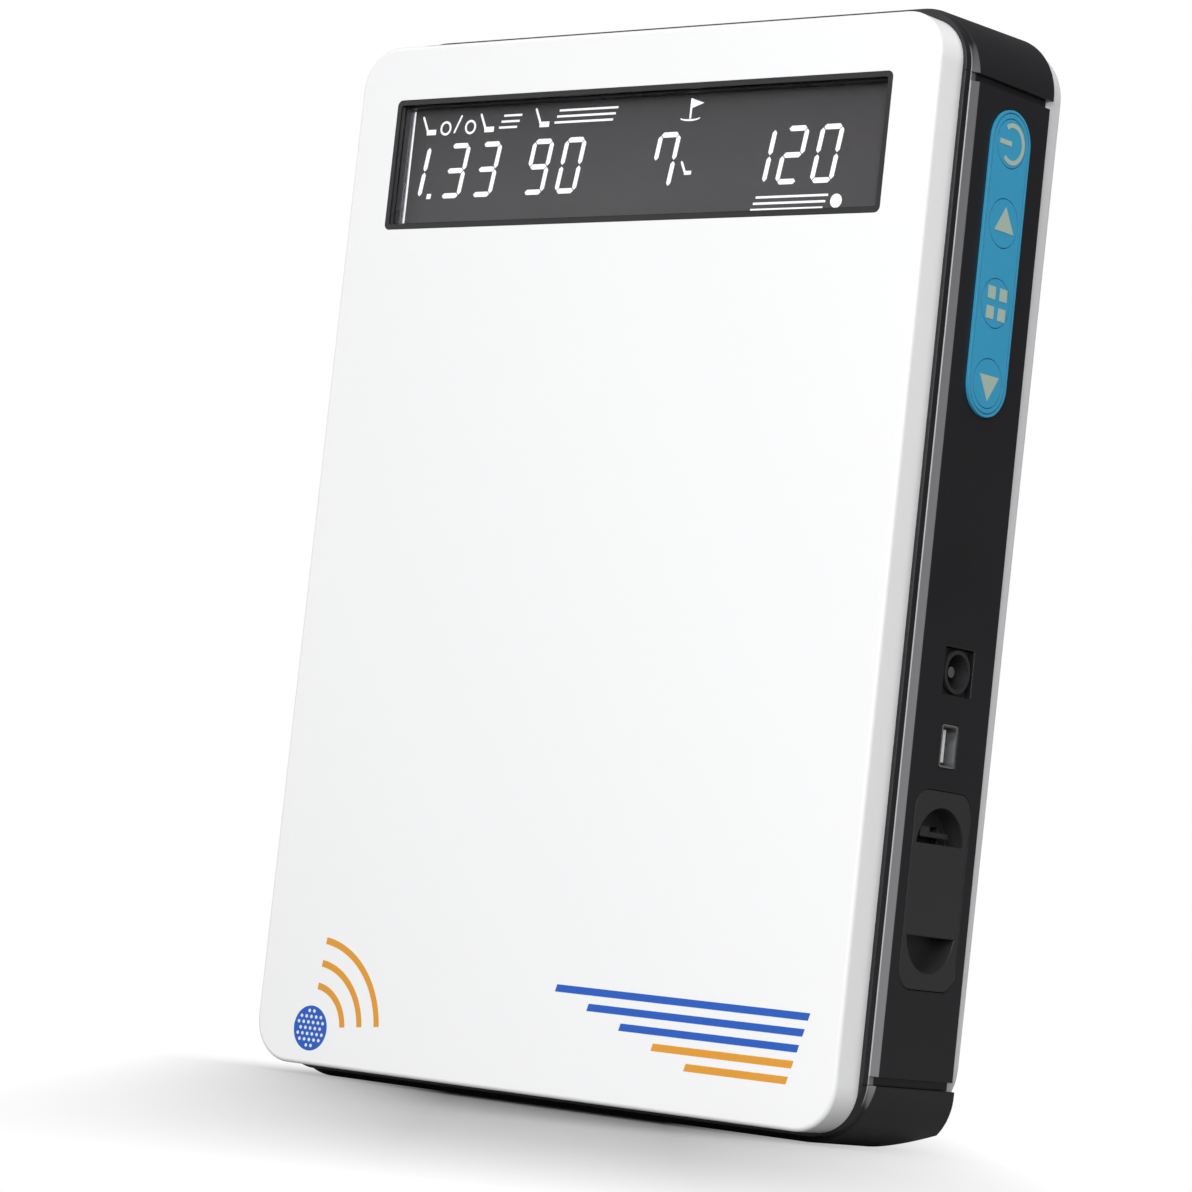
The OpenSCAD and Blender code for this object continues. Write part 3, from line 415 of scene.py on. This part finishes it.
def prism(name, shapes, to_world, thick, mat, body):
    """Flat outlines given a small thickness. to_world takes (a, b, depth) in mm to the row frame."""
    verts, faces = [], []
    for shape in shapes:
        n, k = len(shape), len(verts)
        for d in (0.0, thick):
            verts += [to_world(a, b, d) for a, b in shape]
        faces += [tuple(range(k, k + n)), tuple(range(k + 2 * n - 1, k + n - 1, -1))]
        faces += [(k + i, k + n + i, k + n + (i + 1) % n, k + (i + 1) % n) for i in range(n)]
    mesh = bpy.data.meshes.new(name)
    mesh.from_pydata([Vector(v) * MM for v in verts], [], faces)
    mesh.validate()
    obj = bpy.data.objects.new(name, mesh)
    bpy.context.scene.collection.objects.link(obj)
    dress(obj, mat)
    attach(obj, body)
    return obj


def bar(x0, z0, x1, z1, w):
    """A straight stroke with pointed ends, as an outline."""
    d = Vector((x1 - x0, z1 - z0)).normalized()
    n = Vector((-d.y, d.x)) * w / 2
    a, b = Vector((x0, z0)), Vector((x1, z1))
    t = d * w / 2
    return [tuple(p) for p in (a, a + t - n, b - t - n, b, b - t + n, a + t + n)]


def box2(x0, z0, x1, z1):
    return [(x0, z0), (x1, z0), (x1, z1), (x0, z1)]


def disc(cx, cz, r, n=32):
    turns = [2 * math.pi * i / n for i in range(n)]
    return [(cx + r * math.cos(t), cz + r * math.sin(t)) for t in turns]


def arc_strip(cx, cz, rx, rz, w, a0, a1, n=28):
    """A curved stroke as quads that share their edges, from angle a0 to a1 in degrees."""
    quads = []
    for i in range(n):
        pts = []
        for a in (a0 + (a1 - a0) * i / n, a0 + (a1 - a0) * (i + 1) / n):
            c, s = math.cos(math.radians(a)), math.sin(math.radians(a))
            pts.append([(cx + (rx + e) * c, cz + (rz + e) * s) for e in (w / 2, -w / 2)])
        quads.append([pts[0][0], pts[1][0], pts[1][1], pts[0][1]])
    return quads


# ---- Display ----

SEGMENTS = {"0": "abcdef", "1": "bc", "2": "abged", "3": "abgcd", "7": "abcf", "9": "abcdfg"}
SLANT, DIGIT_W, DIGIT_H, STROKE, SEGMENT_GAP = 0.155, 4.3, 9.8, 1.0, 0.12
LCD_Z = 171.3
SIGNS_Z = 185.4
LOWER_SIGNS_Z = 167.4


def upright_lcd(a, b, d):
    return (a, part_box("lcd_glass")[0].y / MM - 0.012 - d, b)


def on_lcd(a, b, d):
    """Points on the display glass, leaning with the digits."""
    return upright_lcd(a + SLANT * (b - LCD_Z), b, d)


def digit(char, x):
    """The lit segments of one seven-segment digit whose lower left corner is at x."""
    w, h, g, z = DIGIT_W, DIGIT_H / 2, SEGMENT_GAP, LCD_Z
    ends = {"a": (0, 2 * h, w, 2 * h), "b": (w, h, w, 2 * h), "c": (w, 0, w, h), "d": (0, 0, w, 0),
            "e": (0, 0, 0, h), "f": (0, h, 0, 2 * h), "g": (0, h, w, h)}
    out = []
    for s in SEGMENTS[char]:
        x0, z0, x1, z1 = ends[s]
        if x0 == x1:
            out.append(bar(x + x0, z + z0 + g, x + x1, z + z1 - g, STROKE))
        else:
            out.append(bar(x + x0 + g, z + z0, x + x1 - g, z + z1, STROKE))
    return out


def readings():
    groups = {
        "reading_ratio": [("1", -58.8), ("3", -48.6), ("3", -40.5)],
        "reading_club_speed": [("9", -27.35), ("0", -19.3)],
        "reading_club": [("7", 3.6)],
        "reading_ball_speed": [("1", 26.15), ("2", 33.5), ("0", 41.4)],
    }
    for name, row in groups.items():
        shapes = [s for char, x in row for s in digit(char, x)]
        if name == "reading_ratio":
            shapes.append(box2(-52.5, LCD_Z - 0.5, -51.4, LCD_Z + 0.5))
        prism(name, shapes, on_lcd, INK_T, INK, "housing")


def speed_lines(x, z, length, n=3, pitch=1.15, w=0.42):
    """Short level lines above each other, each a little further along than the one below."""
    rows = [(x + 0.5 * i, z + (i - (n - 1) / 2) * pitch) for i in range(n)]
    return [box2(x0, row_z - w / 2, x0 + length, row_z + w / 2) for x0, row_z in rows]


def club_sign(x, z, size=1.0):
    return [bar(x, z + 1.9 * size, x + 1.6 * size, z - 1.3 * size, 0.5),
            box2(x + 1.3 * size, z - 1.9 * size, x + 3.7 * size, z - 0.85 * size)]


def ring_sign(x, z, r):
    return arc_strip(x, z, r, r, 0.45, 0, 360, 24)


def flag_sign(x, z):
    pole = [box2(x - 0.22, z - 1.9, x + 0.22, z + 1.9), [(x, z + 1.9), (x + 3.0, z + 0.95), (x, z)]]
    return pole + arc_strip(x, z - 1.8, 2.2, 0.4, 0.35, 180, 360, 16)


def pictograms():
    """Small generic signs over and under the readings: a club, a ball, speed lines and a flag."""
    z, lower_z = SIGNS_Z, LOWER_SIGNS_Z
    ratio = club_sign(-55.6, z) + ring_sign(-49.4, z - 0.7, 1.2) + [bar(-47.2, z - 1.8, -45.4, z + 1.8, 0.42)]
    ratio += ring_sign(-43.0, z - 0.7, 1.2) + club_sign(-40.6, z) + speed_lines(-35.6, z, 4.6)
    speed = club_sign(-26.6, z + 0.4) + speed_lines(-21.6, z + 0.4, 14.5)
    ball = speed_lines(28.0, lower_z, 16.5) + [disc(47.4, lower_z, 1.3, 24)]
    # A thin glowing strip along the left edge of the display is a painted highlight where the window's inner
    # face meets the glass.
    edge = [box2(-57.95, 165.9, -57.65, 188.3)]
    prism("signs_upper", ratio + speed + flag_sign(11.6, 185.9), upright_lcd, INK_T, INK, "housing")
    prism("signs_lower", ball + club_sign(10.6, 174.7, 0.7), upright_lcd, INK_T, INK, "housing")
    prism("display_edge_highlight", edge, upright_lcd, INK_T, INK, "housing")


# ---- Key icons ----

def on_key(name):
    """Points on a key's face: a runs forwards-to-back along y, b is height, both about the key's centre."""
    lo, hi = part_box(name)
    cy, cz, x = (lo.y + hi.y) / 2 / MM, (lo.z + hi.z) / 2 / MM, hi.x / MM
    return lambda a, b, d: (x + 0.01 + d, cy + a, cz + b)


def key_icons():
    ring = arc_strip(0.3, 0, 3.35, 3.35, 0.85, -128, 128, 40)
    stem = [box2(-3.6, -0.45, 0.0, 0.45)]
    prism("power_icon", ring + stem, on_key("power_key"), ICON_T, ICON, "power_key_body")
    prism("up_icon", [[(-2.7, -1.5), (3.3, -1.5), (0.3, 3.1)]], on_key("up_key"), ICON_T, ICON, "up_key_body")
    squares = [box2(x - 1.15, z - 1.15, x + 1.15, z + 1.15) for x in (-1.5, 2.1) for z in (-1.8, 1.8)]
    prism("menu_icon", squares, on_key("menu_key"), ICON_T, ICON, "menu_key_body")
    prism("down_icon", [[(-2.7, 1.5), (0.3, -3.1), (3.3, 1.5)]], on_key("down_key"), ICON_T, ICON,
          "down_key_body")


# ---- Marks on the front cover ----

def on_front(a, b, d):
    return (a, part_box("front_cover")[0].y / MM - 0.01 - d, b)


def front_marks():
    """Generic marks: a ball with waves spreading from it, and a fan of plain speed lines."""
    ball_x, ball_z, ball_r = -55.4, 8.9, 4.3
    waves = [q for r in (8.2, 12.6, 17.0) for q in arc_strip(ball_x, ball_z, r, r, 1.3, 6, 84, 24)]
    prism("ball_waves", waves, on_front, PRINT_T, ORANGE, "housing")
    prism("ball_disc", [disc(ball_x, ball_z, ball_r, 48)], on_front, PRINT_T, BLUE, "housing")
    dimples = [disc(ball_x + 1.25 * (i + 0.5 * (j % 2)), ball_z + 1.1 * j, 0.34, 14)
               for i in range(-3, 4) for j in range(-3, 4)
               if math.hypot(i + 0.5 * (j % 2), 0.88 * j) < 2.9]
    prism("ball_dimples", dimples, on_front, 2 * PRINT_T, WHITE_INK, "housing")
    right, top, pitch, line_t, lean = 62.4, 21.9, 2.85, 1.35, 0.3
    fan = []
    for i in range(5):
        x0, x1, z = 4.5 + 7.9 * i, right - lean * pitch * i, top - pitch * i
        fan.append([(x0, z - line_t / 2), (x1, z - line_t / 2),
                    (x1 + lean * line_t, z + line_t / 2), (x0 + lean * line_t, z + line_t / 2)])
    prism("speed_lines_blue", fan[:3], on_front, PRINT_T, BLUE, "housing")
    prism("speed_lines_orange", fan[3:], on_front, PRINT_T, ORANGE, "housing")


# ---- Stage ----

def floor_material():
    """Pale floor with a painted soft shadow under the object and towards the camera, darkened further by
    ambient occlusion as a painted contact shadow, white further out.
    """
    # The grey 0.39 is the painted shadow's colour; it shows only where the shadow mask reaches.
    f = finish_of("pale_floor", (0.39, 0.39, 0.39), 0.8, grain=200, depth=0.02, mottle=0.01)
    nt = f.nt
    # Ambient occlusion darkens the floor's colour towards 0.14 close to the object: a painted contact shadow.
    contact_shadow_ao = nt.nodes.new("ShaderNodeAmbientOcclusion")
    contact_shadow_ao.samples = 12
    contact_shadow_ao.inputs["Distance"].default_value = 0.06
    repaint(f, mix(nt, ramp(nt, contact_shadow_ao.outputs["AO"], 0.45, 0.98), (0.14, 0.14, 0.14), f.tint))
    f.bsdf.inputs["Specular IOR Level"].default_value = 0.1
    white = nt.nodes.new("ShaderNodeEmission")
    dim = nt.nodes.new("ShaderNodeBsdfDiffuse")
    dim.inputs[0].default_value = (0.3, 0.3, 0.3, 1)
    fade, seen = nt.nodes.new("ShaderNodeMixShader"), nt.nodes.new("ShaderNodeMixShader")
    path = nt.nodes.new("ShaderNodeLightPath")
    turn = nt.nodes.new("ShaderNodeVectorRotate")
    turn.rotation_type = "Z_AXIS"
    turn.inputs["Angle"].default_value = math.radians(-VIEW_TURN)
    nt.links.new(f.coords, turn.inputs[0])
    split = nt.nodes.new("ShaderNodeSeparateXYZ")
    nt.links.new(turn.outputs[0], split.inputs[0])
    across, away = split.outputs[0], split.outputs[1]
    # Mask of the painted shadow: grey lit floor under and in front of the object, white emission elsewhere.
    left = ramp(nt, across, -0.088, -0.028)
    right = ramp(nt, across, 0.012, 0.072, 1.0, 0.0)
    ahead = math_node(nt, "POWER", ramp(nt, away, -0.29, -0.02, 1.0, 0.0), 2.0)
    behind = ramp(nt, away, 0.03, 0.08, 1.0, 0.0)
    shade = times(nt, left, right, behind, math_node(nt, "SUBTRACT", 1.0, ahead))
    nt.links.new(shade, fade.inputs[0])
    nt.links.new(white.outputs[0], fade.inputs[1])
    nt.links.new(f.bsdf.outputs[0], fade.inputs[2])
    nt.links.new(path.outputs["Is Camera Ray"], seen.inputs[0])
    nt.links.new(dim.outputs[0], seen.inputs[1])
    nt.links.new(fade.outputs[0], seen.inputs[2])
    nt.links.new(seen.outputs[0], nt.nodes["Material Output"].inputs[0])
    return f.mat


def floor():
    s, z = FLOOR_REACH, CAD[0].z
    mesh = bpy.data.meshes.new("floor")
    mesh.from_pydata([(-s, -s, z), (s, -s, z), (s, s, z), (-s, s, z)], [], [(0, 1, 2, 3)])
    obj = bpy.data.objects.new("floor", mesh)
    bpy.context.scene.collection.objects.link(obj)
    dress(obj, floor_material())


def world():
    """White to the camera; softer and dimmer towards the rear right in light and reflections."""
    w = bpy.data.worlds.new("studio")
    bpy.context.scene.world = w
    w.use_nodes = True
    nt = w.node_tree
    nt.nodes.clear()
    out = nt.nodes.new("ShaderNodeOutputWorld")
    seen, light = nt.nodes.new("ShaderNodeBackground"), nt.nodes.new("ShaderNodeBackground")
    seen.inputs[0].default_value = (1, 1, 1, 1)
    tc = nt.nodes.new("ShaderNodeTexCoord")
    dot = nt.nodes.new("ShaderNodeVectorMath")
    dot.operation = "DOT_PRODUCT"
    dot.inputs[1].default_value = Vector((-0.3, -0.95, 0.1)).normalized()
    nt.links.new(tc.outputs["Generated"], dot.inputs[0])
    nt.links.new(ramp(nt, dot.outputs["Value"], -0.35, 0.55, 0.12, 1.02), light.inputs[1])
    light.inputs[0].default_value = (0.99, 0.995, 1, 1)
    path = nt.nodes.new("ShaderNodeLightPath")
    pick = nt.nodes.new("ShaderNodeMixShader")
    nt.links.new(path.outputs["Is Camera Ray"], pick.inputs[0])
    nt.links.new(light.outputs[0], pick.inputs[1])
    nt.links.new(seen.outputs[0], pick.inputs[2])
    nt.links.new(pick.outputs[0], out.inputs[0])


def softbox(name, at, aim, size, power, mirrored=True):
    light = bpy.data.lights.new(name, "AREA")
    light.shape, light.size, light.size_y, light.energy = "RECTANGLE", size[0], size[1], power
    obj = bpy.data.objects.new(name, light)
    obj.location = at
    obj.rotation_euler = (Vector(aim) - Vector(at)).to_track_quat("-Z", "Y").to_euler()
    obj.visible_glossy = mirrored
    bpy.context.scene.collection.objects.link(obj)


def lights():
    centre = (CAD[0] + CAD[1]) / 2
    softbox("key_light", (0.5, -0.8, 0.4), centre, (0.6, 0.6), 5.5)
    softbox("back_light", (0.7, 0.9, 1.2), centre, (0.8, 0.8), 12, mirrored=False)


def camera():
    """The viewing angle: from the front right, a little below the middle, leaning to one side."""
    data = bpy.data.cameras.new("camera")
    data.sensor_width, data.lens = 36.0, 129.0
    cam = bpy.data.objects.new("camera", data)
    cam.location = (0.5094, -0.6198, 0.0288)
    cam.rotation_euler = [math.radians(a) for a in (94.79, -6.16, VIEW_TURN)]
    bpy.context.scene.collection.objects.link(cam)
    bpy.context.scene.camera = cam


dress_nodes()
readings()
pictograms()
key_icons()
front_marks()
floor()
world()
lights()
camera()
bpy.context.scene.view_settings.view_transform = "Standard"
